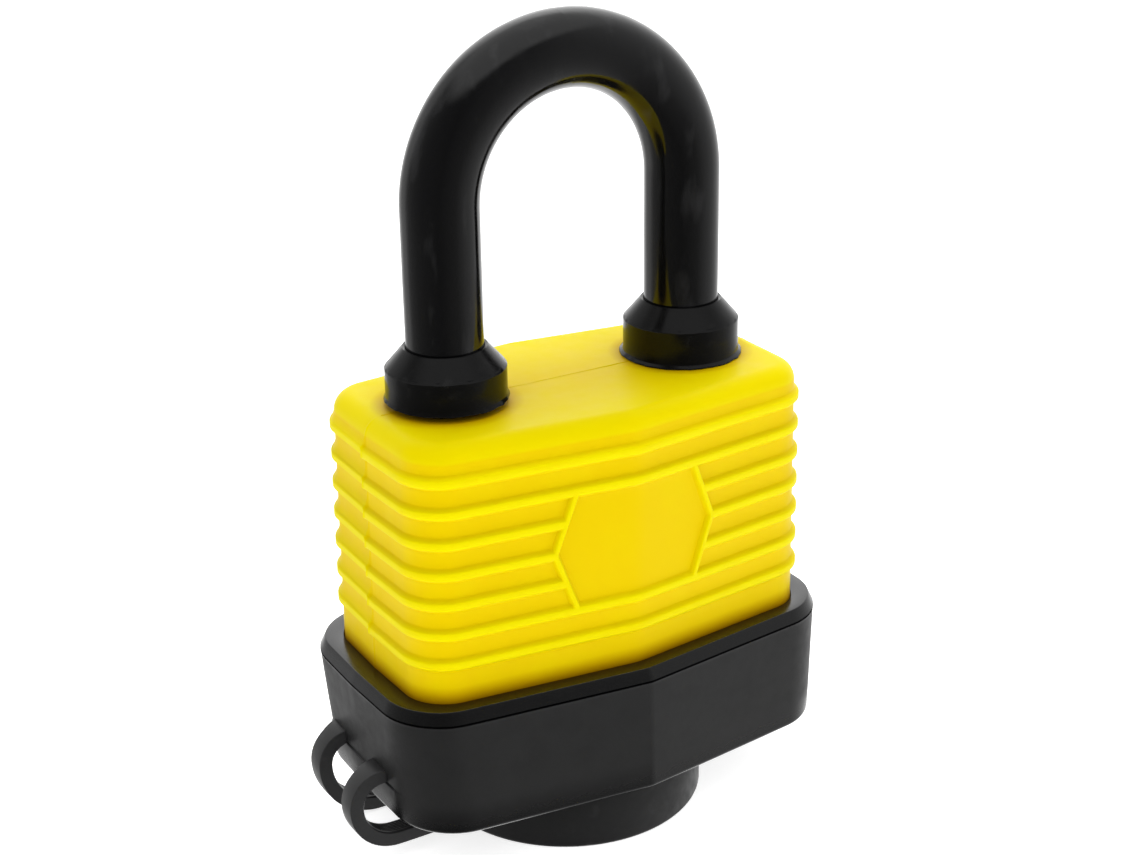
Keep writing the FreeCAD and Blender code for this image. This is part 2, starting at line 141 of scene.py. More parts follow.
def revolve(bm: BMesh, profile: Sequence[Point], x: float, steps: int) -> None:
    """Turn a closed (radius, height) profile about a vertical axis.

    Args:
        bm: The mesh.
        profile: The profile's points in order round the section.
        x: The axis's x.
        steps: How many steps make the full turn.
    """
    ring = [bm.verts.new((x + radius, 0, z)) for radius, z in profile]
    edges = [bm.edges.new(pair) for pair in zip(ring, [*ring[1:], ring[0]])]
    bmesh.ops.spin(bm, geom=[*ring, *edges], cent=(x, 0, 0), axis=(0, 0, 1), angle=ROUND, steps=steps,
                   use_merge=True)
    bmesh.ops.remove_doubles(bm, verts=bm.verts, dist=MERGE)


def dress(bm: BMesh, name: str, finish: "Finish", body: Body | None,
          replaces: Sequence[str], sharp: float = SHARP_ANGLE) -> bpy.types.Object:
    """Close a mesh, bring it to metres, and make it a piece of the padlock.

    Args:
        bm: The mesh in millimetres, which is freed.
        name: The piece's name.
        finish: What it is made of.
        body: The CAD body that it rides on, or None to leave it on no body.
        replaces: The CAD nodes that it stands for.
        sharp: Edges that turn more than this are drawn crisp.

    Returns:
        The new object.
    """
    bmesh.ops.remove_doubles(bm, verts=bm.verts, dist=MERGE)
    bmesh.ops.recalc_face_normals(bm, faces=bm.faces)
    for face in bm.faces:
        face.smooth = True
    for edge in bm.edges:
        edge.smooth = edge.calc_face_angle(0.0) < sharp
    bmesh.ops.scale(bm, vec=(MM, MM, MM), verts=bm.verts)
    mesh = bpy.data.meshes.new(name)
    bm.to_mesh(mesh)
    bm.free()
    piece = bpy.data.objects.new(name, mesh)
    bpy.context.scene.collection.objects.link(piece)
    mesh.materials.append(finish.material())
    if body is not None:
        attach(piece, body.value)
    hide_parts(*replaces)
    LOG.info("%s: %d faces", name, len(mesh.polygons))
    return piece


# ---- finishes

class Nodes:
    """A node tree, with short calls for adding and joining nodes."""

    def __init__(self, tree: bpy.types.NodeTree) -> None:
        """Take over a tree."""
        self.tree = tree

    def add(self, kind: str, **settings: object) -> bpy.types.ShaderNode:
        """Add a node and set its properties."""
        node = self.tree.nodes.new(kind)
        for key, value in settings.items():
            setattr(node, key, value)
        return node

    def join(self, source: Socket, target: Socket) -> None:
        """Link one socket to another."""
        self.tree.links.new(source, target)

    def span(self, source: Socket, start: float, end: float, low: float, high: float,
             way: str = "LINEAR") -> Socket:
        """Map a value's range start to end onto low to high, held at both ends."""
        node = self.add("ShaderNodeMapRange", interpolation_type=way)
        self.join(source, node.inputs["Value"])
        for key, value in zip(("From Min", "From Max", "To Min", "To Max"), (start, end, low, high)):
            node.inputs[key].default_value = value
        return node.outputs["Result"]

    def mix(self, factor: Socket, first: Sequence[float] | Socket, second: Sequence[float]) -> Socket:
        """Mix two colours by a factor, where the first may be another node's output."""
        node = self.add("ShaderNodeMix", data_type="RGBA")
        self.join(factor, node.inputs["Factor"])
        if isinstance(first, bpy.types.NodeSocket):
            self.join(first, node.inputs["A"])
        else:
            node.inputs["A"].default_value = (*first, 1)
        node.inputs["B"].default_value = (*second, 1)
        return node.outputs["Result"]

    def math(self, operation: str, first: Socket | float, second: Socket | float = 0.0) -> Socket:
        """Combine two values, each a node's output or a number."""
        node = self.add("ShaderNodeMath", operation=operation)
        for value, target in zip((first, second), node.inputs):
            if isinstance(value, bpy.types.NodeSocket):
                self.join(value, target)
            else:
                target.default_value = value
        return node.outputs["Value"]


class Shader(Nodes):
    """A material's nodes, on object coordinates."""

    def __init__(self, name: str) -> None:
        """Start a material with one Principled surface."""
        self.material = bpy.data.materials.new(name)
        self.material.use_nodes = True
        super().__init__(self.material.node_tree)
        self.surface = self.tree.nodes["Principled BSDF"]
        self.place = self.add("ShaderNodeTexCoord").outputs["Object"]

    def noise(self, size: float, detail: float = 3.0, stretch: Sequence[float] = (1, 1, 1)) -> Socket:
        """Add noise on object coordinates.

        Args:
            size: The features' size in millimetres.
            detail: How many finer layers are added.
            stretch: How much longer the features are along X, Y and Z.

        Returns:
            The factor output, from 0 to 1.
        """
        mapping = self.add("ShaderNodeMapping")
        mapping.inputs["Scale"].default_value = [1 / (size * MM * s) for s in stretch]
        self.join(self.place, mapping.inputs["Vector"])
        node = self.add("ShaderNodeTexNoise")
        node.inputs["Scale"].default_value = 1.0
        node.inputs["Detail"].default_value = detail
        self.join(mapping.outputs["Vector"], node.inputs["Vector"])
        return node.outputs["Fac"]

    def axes(self) -> tuple[Socket, Socket, Socket]:
        """Split the object coordinates into X, Y and Z."""
        node = self.add("ShaderNodeSeparateXYZ")
        self.join(self.place, node.inputs[0])
        return tuple(node.outputs)

    def bump(self, height: Socket, depth: float, below: Socket | None = None) -> Socket:
        """Add relief.

        Args:
            height: The relief's height, 0 to 1.
            depth: The relief's full depth in millimetres.
            below: The normal of the relief underneath.

        Returns:
            The new normal.
        """
        node = self.add("ShaderNodeBump")
        node.inputs["Strength"].default_value = 1.0
        node.inputs["Distance"].default_value = depth * MM
        self.join(height, node.inputs["Height"])
        if below is not None:
            self.join(below, node.inputs["Normal"])
        return node.outputs["Normal"]

    def edges(self, start: float, end: float) -> Socket:
        """Find worn edges: 1 where the surface is sharply convex, 0 where it is flat."""
        return self.span(self.add("ShaderNodeNewGeometry").outputs["Pointiness"], start, end, 0, 1)

    def attribute(self, name: str) -> Socket:
        """Read a number painted on the mesh."""
        return self.add("ShaderNodeAttribute", attribute_name=name).outputs["Fac"]

    def set(self, **values: object) -> None:
        """Set constants on the surface's own sockets, spaces in names written as underscores."""
        for key, value in values.items():
            self.surface.inputs[key.replace("_", " ")].default_value = value

    def feed(self, **sockets: Socket) -> None:
        """Join node outputs to the surface's sockets."""
        for key, source in sockets.items():
            self.join(source, self.surface.inputs[key.replace("_", " ")])


class Finish:
    """What a piece is made of. Each finish makes its material once."""

    name: str
    _made: dict[str, bpy.types.Material] = {}

    def paint(self, shader: Shader) -> None:
        """Fill in the material's nodes."""
        raise NotImplementedError

    def material(self) -> bpy.types.Material:
        """Return the finish's material, made on the first call."""
        if self.name not in Finish._made:
            shader = Shader(self.name)
            self.paint(shader)
            Finish._made[self.name] = shader.material
        return Finish._made[self.name]


@dataclass(frozen=True)
class JacketPlastic(Finish):
    """Soft semi-matt moulded plastic, with shade painted in: deeper in colour between the ribs and beside the
    cup and collars.
    """

    name: str = "yellow_thermoplastic"
    # the valley colour is painted shade in the hollows between the ribs, laid on the plain wall too
    crest: tuple[float, float, float] = (0.69, 0.6, 0.0)
    valley: tuple[float, float, float] = (0.67, 0.485, 0.0)
    mottle: tuple[float, float, float] = (0.68, 0.54, 0.0)
    # the next colour is shade painted beside the cup's rim and round the collars' feet
    painted_shade: tuple[float, float, float] = (0.44, 0.21, 0.0)
    foot: tuple[float, float] = (20.5, 22.4)       # heights between which the painted shade fades above the cup
    ring: tuple[float, float] = (6.2, 7.9)         # and how far from the legs it fades round the collars
    ring_share: float = 0.7        # how strong it is there
    lid: tuple[float, float] = (46.6, 47.8)        # heights between which the ring sets in

    def shade(self, shader: Shader) -> Socket:
        """Find where shade is painted: close to the cup's rim and round the collars' feet.

        Args:
            shader: The material's nodes.

        Returns:
            1 where the painted shade is deepest, falling to 0.
        """
        x, y, z = shader.axes()
        above = shader.span(z, self.foot[0] * MM, self.foot[1] * MM, 1, 0)
        leg_x = sum(corner.x for corner in node_box("toe_collar")) / 2
        aside = shader.math("SUBTRACT", shader.math("ABSOLUTE", x), leg_x * MM)
        reach = shader.math("SQRT", shader.math("ADD", shader.math("MULTIPLY", aside, aside),
                                                shader.math("MULTIPLY", y, y)))
        round_leg = shader.span(reach, self.ring[0] * MM, self.ring[1] * MM, self.ring_share, 0)
        on_lid = shader.span(z, self.lid[0] * MM, self.lid[1] * MM, 0, 1)
        return shader.math("MAXIMUM", above, shader.math("MULTIPLY", round_leg, on_lid))

    def paint(self, shader: Shader) -> None:
        """Colour with painted shade by rib height and beside the cup and collars, with mottling, faint flow
        marks and fine grain.
        """
        # painted shade: the hollows between the ribs and the plain wall take the deeper valley colour
        colour = shader.mix(shader.attribute("crest"), self.valley, self.crest)
        patches = shader.span(shader.noise(6.0), 0.5, 0.75, 0.0, 0.5)
        colour = shader.mix(patches, colour, self.mottle)
        scuffs = shader.span(shader.noise(0.7, 6.0, (1, 1, 2.5)), 0.66, 0.74, 0.0, 0.3)
        colour = shader.mix(scuffs, colour, self.valley)
        # painted shade beside the cup's rim and round the collars' feet
        shader.feed(Base_Color=shader.mix(self.shade(shader), colour, self.painted_shade))
        shader.feed(Roughness=shader.span(shader.noise(2.2, 5.0), 0.3, 0.7, 0.36, 0.5))
        waves = shader.bump(shader.noise(5.0, 1.0), 0.05)
        pits = shader.bump(shader.span(shader.noise(0.55, 2.0), 0.68, 0.76, 1.0, 0.0), 0.008, waves)
        shader.feed(Normal=shader.bump(shader.noise(0.16, 2.0), 0.0035, pits))
        shader.set(Specular_IOR_Level=0.07, Specular_Tint=(1, 0.85, 0.1, 1), Subsurface_Weight=0.12,
                   Subsurface_Scale=0.0008, Subsurface_Radius=(1.0, 0.6, 0.05))


@dataclass(frozen=True)
class CupPlastic(Finish):
    """Black moulded plastic: finely textured walls and a polished rim, told apart by the mesh's satin."""

    name: str = "satin_black_cup"
    wall: tuple[float, float, float] = (0.0115, 0.0115, 0.0117)
    rim: tuple[float, float, float] = (0.003, 0.003, 0.0031)
    wall_gloss: float = 0.46
    rim_gloss: float = 0.2

    def paint(self, shader: Shader) -> None:
        """Grey-black and grained on the walls, deep and smooth on the rim, faintly cloudy all over."""
        satin = shader.attribute("satin")
        colour = shader.mix(satin, self.rim, self.wall)
        clouds = shader.span(shader.noise(3.0, 6.0), 0.45, 0.75, 0.0, 0.25)
        shader.feed(Base_Color=shader.mix(clouds, colour, self.rim))
        gloss = shader.span(satin, 0, 1, self.rim_gloss, self.wall_gloss)
        uneven = shader.span(shader.noise(1.2, 5.0), 0.3, 0.7, -0.04, 0.04)
        shader.feed(Roughness=shader.math("ADD", gloss, uneven))
        waves = shader.bump(shader.noise(4.0, 1.0), 0.02)
        grain = shader.math("MULTIPLY", shader.noise(0.17, 2.0), satin)
        shader.feed(Normal=shader.bump(grain, 0.009, waves))
        shader.set(Specular_IOR_Level=0.55)


@dataclass(frozen=True)
class BlackPlastic(Finish):
    """Black moulded plastic or elastomer, with a fine grain and paler worn edges."""

    name: str
    colour: tuple[float, float, float] = (0.007, 0.007, 0.0073)
    worn: tuple[float, float, float] = (0.025, 0.025, 0.026)
    gloss: tuple[float, float] = (0.3, 0.44)      # least and most roughness
    grain: float = 0.2                            # size of the grain
    grain_depth: float = 0.004
    waviness: float = 0.03
    specular: float = 0.5

    def paint(self, shader: Shader) -> None:
        """Mottled black, paler on convex edges, over a wavy and finely grained surface."""
        marks = shader.span(shader.noise(1.6, 6.0), 0.6, 0.75, 0.0, 0.5)
        colour = shader.mix(marks, self.colour, self.worn)
        shader.feed(Base_Color=shader.mix(shader.edges(0.53, 0.62), colour, self.worn))
        shader.feed(Roughness=shader.span(shader.noise(1.2, 5.0), 0.3, 0.7, *self.gloss))
        waves = shader.bump(shader.noise(4.0, 1.0), self.waviness)
        shader.feed(Normal=shader.bump(shader.noise(self.grain, 2.0), self.grain_depth, waves))
        shader.set(Specular_IOR_Level=self.specular)


@dataclass(frozen=True)
class SleevePlastic(Finish):
    """Glossy black tubing, faintly uneven, with dull rubs and drawn lines along its length."""

    name: str = "gloss_black_tube"
    colour: tuple[float, float, float] = (0.0022, 0.0022, 0.0024)
    rubbed: tuple[float, float, float] = (0.012, 0.012, 0.0125)

    def paint(self, shader: Shader) -> None:
        """Deep black with rubbed patches, lengthwise lines and a soft orange-peel."""
        rubs = shader.span(shader.noise(2.5, 7.0, (1, 1, 3)), 0.57, 0.72, 0.0, 1.0)
        shader.feed(Base_Color=shader.mix(rubs, self.colour, self.rubbed))
        shader.feed(Roughness=shader.span(shader.noise(1.8, 6.0, (1, 1, 4)), 0.35, 0.72, 0.07, 0.22))
        peel = shader.bump(shader.noise(2.6, 2.0, (1, 1, 3)), 0.022)
        lines = shader.bump(shader.noise(0.5, 3.0, (1, 1, 30)), 0.004, peel)
        specks = shader.span(shader.noise(0.3, 2.0), 0.72, 0.8, 0.0, 1.0)
        shader.feed(Normal=shader.bump(specks, 0.01, lines))
        shader.set(Specular_IOR_Level=0.5)


@dataclass(frozen=True)
class Metal(Finish):
    """Metal with tool marks, small stains and brighter worn edges."""

    name: str
    colour: tuple[float, float, float]
    stain: tuple[float, float, float]
    gloss: tuple[float, float] = (0.22, 0.38)
    marks: tuple[float, float, float] = (12, 12, 1)   # the tool marks' stretch along X, Y and Z
    mark_depth: float = 0.003

    def paint(self, shader: Shader) -> None:
        """Stained colour, roughness in streaks and a fine scratch relief."""
        stains = shader.span(shader.noise(2.0, 6.0), 0.5, 0.72, 0.0, 0.8)
        colour = shader.mix(stains, self.colour, self.stain)
        bright = tuple(min(1.0, c * 1.15) for c in self.colour)
        shader.feed(Base_Color=shader.mix(shader.edges(0.54, 0.64), colour, bright))
        streaks = shader.noise(0.12, 3.0, self.marks)
        shader.feed(Roughness=shader.span(streaks, 0.3, 0.7, *self.gloss))
        shader.feed(Normal=shader.bump(streaks, self.mark_depth, shader.bump(shader.noise(1.5), 0.006)))
        shader.set(Metallic=1.0)


@dataclass(frozen=True)
class PaleFloor(Finish):
    """The matt studio table, which glows enough to lose most of the padlock's shadow."""

    name: str = "studio_table"

    def paint(self, shader: Shader) -> None:
        """Near white, with a breath of unevenness."""
        shader.feed(Base_Color=shader.mix(shader.noise(40.0), (0.93, 0.93, 0.93), (0.95, 0.95, 0.95)))
        shader.set(Roughness=0.9, Specular_IOR_Level=0.1, Emission_Color=(1, 1, 1, 1), Emission_Strength=0.75)


JACKET_YELLOW = JacketPlastic()
CUP_BLACK = CupPlastic()
CAP_BLACK = BlackPlastic("black_cap_elastomer", colour=(0.011, 0.011, 0.0113), gloss=(0.4, 0.55), grain=0.25,
                         grain_depth=0.005)
STRAP_BLACK = BlackPlastic("black_strap_elastomer", colour=(0.022, 0.022, 0.0225), gloss=(0.3, 0.42),
                           waviness=0.015)
COLLAR_BLACK = BlackPlastic("turned_black_collar", colour=(0.003, 0.003, 0.0031), worn=(0.012, 0.012, 0.012),
                            gloss=(0.15, 0.27), waviness=0.012, grain_depth=0.002, specular=0.2)
SLEEVE_BLACK = SleevePlastic()
SHACKLE_STEEL = Metal("plated_rod", (0.62, 0.63, 0.65), (0.42, 0.42, 0.42), marks=(1, 1, 30))
PLATE_STEEL = Metal("zinc_plated_sheet", (0.56, 0.57, 0.58), (0.38, 0.38, 0.37))
SPRING_STEEL = Metal("spring_wire", (0.7, 0.7, 0.72), (0.5, 0.49, 0.47), gloss=(0.15, 0.28), mark_depth=0.001)
BRASS = Metal("turned_brass", (0.78, 0.6, 0.28), (0.55, 0.38, 0.14), gloss=(0.2, 0.34))


# ---- plan outline

@dataclass(frozen=True)
class Plan:
    """The padlock's outline from above: a long hexagon with rounded corners and slightly bulging ends."""

    width: float
    end_depth: float
    mid_depth: float
    corner_r: float
    ridge_r: float
    bulge: float
    cuts: tuple[float, ...] = ()
    end_r: float = 12.0
    corner_steps: int = 14
    ridge_steps: int = 6
    end_steps: int = 4

    def trace(self) -> list[tuple[Vector, Vector]]:
        """Round the hexagon's corners and cut its long walls.

        Returns:
            Each point on the outline in order from the +X end, with its outward direction.
        """
        x, y, ridge = self.width / 2, self.end_depth / 2, self.mid_depth / 2
        shoulder = x - self.bulge
        places = [(x, 0), (shoulder, y), (0, ridge), (-shoulder, y),
                  (-x, 0), (-shoulder, -y), (0, -ridge), (shoulder, -y)]
        end, corner = (self.end_r, self.end_steps), (self.corner_r, self.corner_steps)
        styles = [end, corner, (self.ridge_r, self.ridge_steps), corner] * 2
        bm = bmesh.new()
        corners = [bm.verts.new((px, py, 0)) for px, py in places]
        bm.faces.new(corners)
        for i, (radius, steps) in enumerate(styles):
            here, back, ahead = (Vector(places[j % 8]) for j in (i, i - 1, i + 1))
            half = (back - here).angle(ahead - here) / 2
            bmesh.ops.bevel(bm, geom=[corners[i]], affect="VERTICES", offset=radius / math.tan(half),
                            segments=steps, profile=0.5, material=-1, clamp_overlap=False)
        bmesh.ops.delete(bm, geom=list(bm.faces), context="FACES_ONLY")
        for cut in self.cuts:
            for side in (-cut, cut):
                bmesh.ops.bisect_plane(bm, geom=[*bm.verts, *bm.edges], plane_co=(side, 0, 0),
                                       plane_no=(1, 0, 0), dist=MERGE)
        points = self._in_order(bm)
        bm.free()
        return points

    @staticmethod
    def _in_order(bm: BMesh) -> list[tuple[Vector, Vector]]:
        """Walk the outline anticlockwise from its +X point and give each point its outward direction."""
        start = max(bm.verts, key=lambda v: (round(v.co.x, 4), -abs(v.co.y)))
        vert = max((e.other_vert(start) for e in start.link_edges), key=lambda v: v.co.y)
        ring = [start]
        while vert is not start:
            ring.append(vert)
            vert = next(e.other_vert(vert) for e in vert.link_edges if e.other_vert(vert) is not ring[-2])
        points = []
        for i, vert in enumerate(ring):
            before, after = ring[i - 1].co, ring[(i + 1) % len(ring)].co
            sides = [(vert.co - before).normalized(), (after - vert.co).normalized()]
            normal = Vector((sides[0].y + sides[1].y, -sides[0].x - sides[1].x, 0)).normalized()
            points.append((vert.co.copy(), normal))
        return points


class Wall:
    """A wall grown ring by ring: each ring is extruded from the last and its vertices put in place."""

    def __init__(self, bm: BMesh, places: Sequence[Vector]) -> None:
        """Start with one closed ring of edges."""
        self.bm = bm
        self.ring = [bm.verts.new(place) for place in places]
        for a, b in zip(self.ring, [*self.ring[1:], self.ring[0]]):
            bm.edges.new((a, b))

    def grow(self, places: Sequence[Vector]) -> None:
        """Extrude the last ring and move each new vertex to its place."""
        made = bmesh.ops.extrude_edge_only(self.bm, edges=loop_edges(self.ring))["geom"]
        fresh = {g for g in made if isinstance(g, BMVert)}
        self.ring = [next(e.other_vert(v) for e in v.link_edges if e.other_vert(v) in fresh)
                     for v in self.ring]
        for vert, place in zip(self.ring, places):
            vert.co = place


def bore(bm: BMesh, x: float, radius: float, top: float, bottom: float, soften: float,
         steps: int = 64) -> tuple[list[BMEdge], list[BMEdge]]:
    """Make a round bore's wall, with a softened upper edge.

    Args:
        bm: The mesh.
        x: The bore's centre.
        radius: Its radius.
        top: Where it starts.
        bottom: Where it ends.
        soften: How far the upper edge is eased.
        steps: Its number of sides.

    Returns:
        The edges round its upper and lower ends.
    """
    made = bmesh.ops.create_circle(bm, cap_ends=False, radius=radius + soften, segments=steps,
                                   matrix=Matrix.Translation((x, 0, top)))["verts"]
    mouth = list({edge for vert in made for edge in vert.link_edges})
    edges = grow_edges(bm, mouth, Vector((0, 0, -soften)))
    verts = list({vert for edge in edges for vert in edge.verts})
    shrink = radius / (radius + soften)
    bmesh.ops.scale(bm, vec=(shrink, shrink, 1), verts=verts, space=Matrix.Translation((-x, 0, 0)))
    return mouth, grow_edges(bm, edges, Vector((0, 0, bottom - top + soften)))


# ---- the jacket

@dataclass
class Jacket:
    """The ribbed plastic jacket over the laminations, with a plain hexagonal panel on each face."""

    bottom: tuple[float, float, float] = (48.1, 21.9, 27.5)
    top: tuple[float, float, float] = (47.05, 22.1, 27.7)
    corner_r: float = 4.65
    ridge_r: float = 6.0
    bulge: float = 0.3
    edge_r: float = 1.9
    foot_turn: float = 0.3        # how far the foot's edge turns in
    lid_turn: float = 0.25        # how far the lid's edge stands in from the rounded edge
    wall: float = 2.3
    top_wall: float = 1.6
    face_cuts: tuple[float, ...] = (1.6, 3.2, 5.0, 6.4, 7.7, 11.2, 12.5, 14.0, 16.0)
    plain_rings: tuple[float, ...] = (0.35, 4.0, 9.0, 12.5)     # rings above the foot, on the plain wall
    shoulder: tuple[float, ...] = (        # where rings lie over a rib's side, as shares of its foot
        0, 0.32, 0.42, 0.52, 0.62, 0.72, 0.82, 0.92, 1.0)
    lid_tone: float = 0.7         # the lid's share of the crests' colour, against the painted valley shade
    unevenness: tuple[Point, ...] = ((0.018, 2.2), (0.03, 9.0))   # how deep and how broad
    rib_count: int = 7
    rib_mid_z: float = 34.8
    rib_pitch: float = 3.27
    rib_rise: float = 0.5
    rib_crest: float = 0.27       # half height of the flat crest
    rib_foot: float = 0.84        # half height at the foot
    panel_tip: float = 9.58       # the chevrons' middle line at their points
    panel_lean: float = 2.3       # how far their ends stand in from the points
    panel_half: float = 6.1
    panel_crest: float = 0.2
    panel_foot: float = 0.58
    panel_over: float = 0.3       # how far the chevrons run past the panel
    lean_in: Point = (3.0, 8.8)   # where along a face the lean sets in
    lean_out: Point = (10.4, 17.0)   # and where it is gone
    seam_rise: float = 0.12
    seam_step: float = 0.3        # how far the ribs on an end's rear half sit above the front half's
    leg_hole_r: float = 4.7
    hole_ease: float = 0.2
    bead: tuple[Point, ...] = (            # the section of the mould line along the lid
        (-0.17, -0.04), (-0.05, 0.02), (0.03, 0.045), (0.2, -0.04))
    bead_gap: float = 0.4         # from a leg hole
    bead_step: float = 0.55

    def __post_init__(self) -> None:
        """Take the heights and leg places from the CAD and trace the outline."""
        low, high = node_box("jacket")
        self.z0, self.z1 = low.z, high.z
        self.leg_x = sum(corner.x for corner in node_box("toe_collar")) / 2
        near = [d * self.panel_foot / 6 for d in range(-7, 8)]
        rails = [self.panel_tip + d for d in near]
        self.plan = self.outline(self.bottom, (*self.face_cuts, *rails))

    def outline(self, size: Sequence[float], cuts: tuple[float, ...]) -> list[tuple[Vector, Vector]]:
        """Trace the jacket's outline at a size."""
        return Plan(*size, corner_r=self.corner_r, ridge_r=self.ridge_r, bulge=self.bulge, cuts=cuts).trace()

    def size(self, z: float) -> tuple[float, ...]:
        """Give the wall's width, end depth and middle depth at a height."""
        k = (z - self.z0) / (self.z1 - self.z0)
        return tuple(a + (b - a) * k for a, b in zip(self.bottom, self.top))

    def place(self, index: int, z: float, rise: float) -> Vector:
        """Put an outline point at a height, out from the plain wall.

        Args:
            index: Which point of the outline.
            z: The height.
            rise: How far out from the drafted wall.

        Returns:
            The point.
        """
        point, normal = self.plan[index]
        size = self.size(z)
        x, y = point.x * size[0] / self.bottom[0], point.y * size[2] / self.bottom[2]
        lean = self.panel_lean * min(abs(z - self.rib_mid_z) / self.panel_half, 1.0)
        u = abs(point.x)
        pull = -lean * ease(u, *self.lean_in) * (1 - ease(u, *self.lean_out)) * math.copysign(1, x)
        if abs(normal.y) > ACROSS:
            x, y = x + pull, y - pull * normal.x / normal.y
        return Vector((x, y, z)) + normal * rise

    def relief(self, index: int, z: float) -> float:
        """Work out the ribs' and chevrons' height at a place, from 0 on the wall to 1 on a crest."""
        point, normal = self.plan[index]
        on_face = abs(normal.y) > ACROSS
        shift = self.seam_step if point.y > MIDDLE and not on_face else 0.0
        u, step = abs(point.x), (z - shift - self.rib_mid_z) / self.rib_pitch
        nearest = max(-(self.rib_count // 2), min(self.rib_count // 2, round(step)))
        rib = 1 - ease(abs(step - nearest) * self.rib_pitch, self.rib_crest, self.rib_foot)
        if on_face and abs(nearest) < 2 and u < self.panel_tip:
            rib = 0.0
        chevron = 0.0
        if on_face and abs(z - self.rib_mid_z) < self.panel_half + self.panel_over:
            chevron = 1 - ease(abs(u - self.panel_tip), self.panel_crest, self.panel_foot)
        return max(rib, chevron)

    def heights(self) -> list[float]:
        """List the rings' heights, close together over the ribs' shoulders."""
        shoulder = [self.rib_foot * share for share in self.shoulder]
        half = self.rib_count // 2
        levels = {*(self.z0 + up for up in self.plain_rings), self.z1 - self.edge_r}
        for step in range(-half, half + 1):
            middle = self.rib_mid_z + step * self.rib_pitch
            levels |= {round(middle + sign * s, 4) for s in shoulder for sign in (-1, 1)}
            levels.add(middle + self.rib_pitch / 2)
        return sorted(z for z in levels if z <= self.z1 - self.edge_r)

    def seam(self, index: int, z: float) -> float:
        """Raise the mould line down the middle of each end, a little unevenly."""
        point, normal = self.plan[index]
        if abs(normal.x) < ACROSS or abs(point.y) > MIDDLE:
            return 0.0
        return self.seam_rise * (0.75 + 0.5 * ripple(point.x, 0, z, 0.8))

    def build(self) -> BMesh:
        """Grow the outer wall, round its top edge, bore the leg holes and line the inside.

        Returns:
            The closed shell.
        """
        bm = bmesh.new()
        # rib height, which the jacket's finish turns into painted shade between the ribs
        crest = bm.verts.layers.float.new("crest")
        count = range(len(self.plan))
        wall = Wall(bm, [self.place(i, self.z0, -self.foot_turn) for i in count])
        for z in self.heights():
            wall.grow([self._skin(i, z) for i in count])
            for i, vert in enumerate(wall.ring):
                vert[crest] = self.relief(i, z)
        for run, climb in arc(self.edge_r, 0, 90, 9)[1:]:
            z = self.z1 - self.edge_r + climb
            wall.grow([self.place(i, z, run - self.edge_r + self.seam(i, z)) for i in count])
            for vert in wall.ring:
                vert[crest] = self.lid_tone
        wall.grow([self.place(i, self.z1, -self.edge_r - self.lid_turn) for i in count])
        for vert in wall.ring:
            vert[crest] = self.lid_tone
        lid, ceiling = loop_edges(wall.ring), []
        for x in (-self.leg_x, self.leg_x):
            mouth, foot = bore(bm, x, self.leg_hole_r, self.z1, self.z1 - self.top_wall,
                               self.hole_ease)
            lid += mouth
            ceiling += foot
        bmesh.ops.triangle_fill(bm, use_beauty=True, edges=lid, normal=(0, 0, 1))
        inside = Wall(bm, [self.place(i, self.z0, -self.foot_turn) for i in count])
        inside.grow([self._lining(i, self.z0) for i in count])
        inside.grow([self._lining(i, self.z1 - self.top_wall) for i in count])
        bmesh.ops.triangle_fill(bm, use_beauty=True, edges=ceiling + loop_edges(inside.ring),
                                normal=(0, 0, -1))
        return bm

    def _skin(self, index: int, z: float) -> Vector:
        """Put an outline point on the ribbed outer skin."""
        spot = self.place(index, z, 0)
        uneven = sum(depth * ripple(*spot, breadth) for depth, breadth in self.unevenness)
        return self.place(index, z, self.rib_rise * self.relief(index, z) + self.seam(index, z) + uneven)

    def _lining(self, index: int, z: float) -> Vector:
        """Put an outline point on the plain inner wall."""
        point, normal = self.plan[index]
        return Vector((point.x, point.y, z)) - normal * self.wall

    def seam_beads(self, bm: BMesh) -> None:
        """Lay the thin mould line along the top, between and beyond the collars."""
        reach = self.top[0] / 2 - self.edge_r
        hole = self.leg_hole_r + self.bead_gap
        runs = [(-reach, -self.leg_x - hole), (-self.leg_x + hole, self.leg_x - hole),
                (self.leg_x + hole, reach)]
        for start, end in runs:
            steps = max(2, round((end - start) / self.bead_step))
            ring = [bm.verts.new((start, y, self.z1 + rise)) for y, rise in self.bead]
            first = bm.faces.new(ring)
            edges, along = list(first.edges), (end - start) / steps
            for i in range(1, steps + 1):
                edges = grow_edges(bm, edges, Vector((along, 0, 0)))
                x = start + i * along
                verts = {vert for edge in edges for vert in edge.verts}
                for vert in verts:
                    vert.co.y += 0.05 * ripple(x, 0, 5, 0.9)
                    vert.co.z += 0.02 * ripple(x, 3, 0, 1.1) if vert.co.z > self.z1 else 0
            bmesh.ops.edgeloop_fill(bm, edges=edges)

    def make(self) -> None:
        """Build the jacket and stand it in for its CAD node."""
        bm = self.build()
        self.seam_beads(bm)
        dress(bm, "ribbed_jacket", JACKET_YELLOW, Body.BODY, ["jacket"])


# ---- the base cup

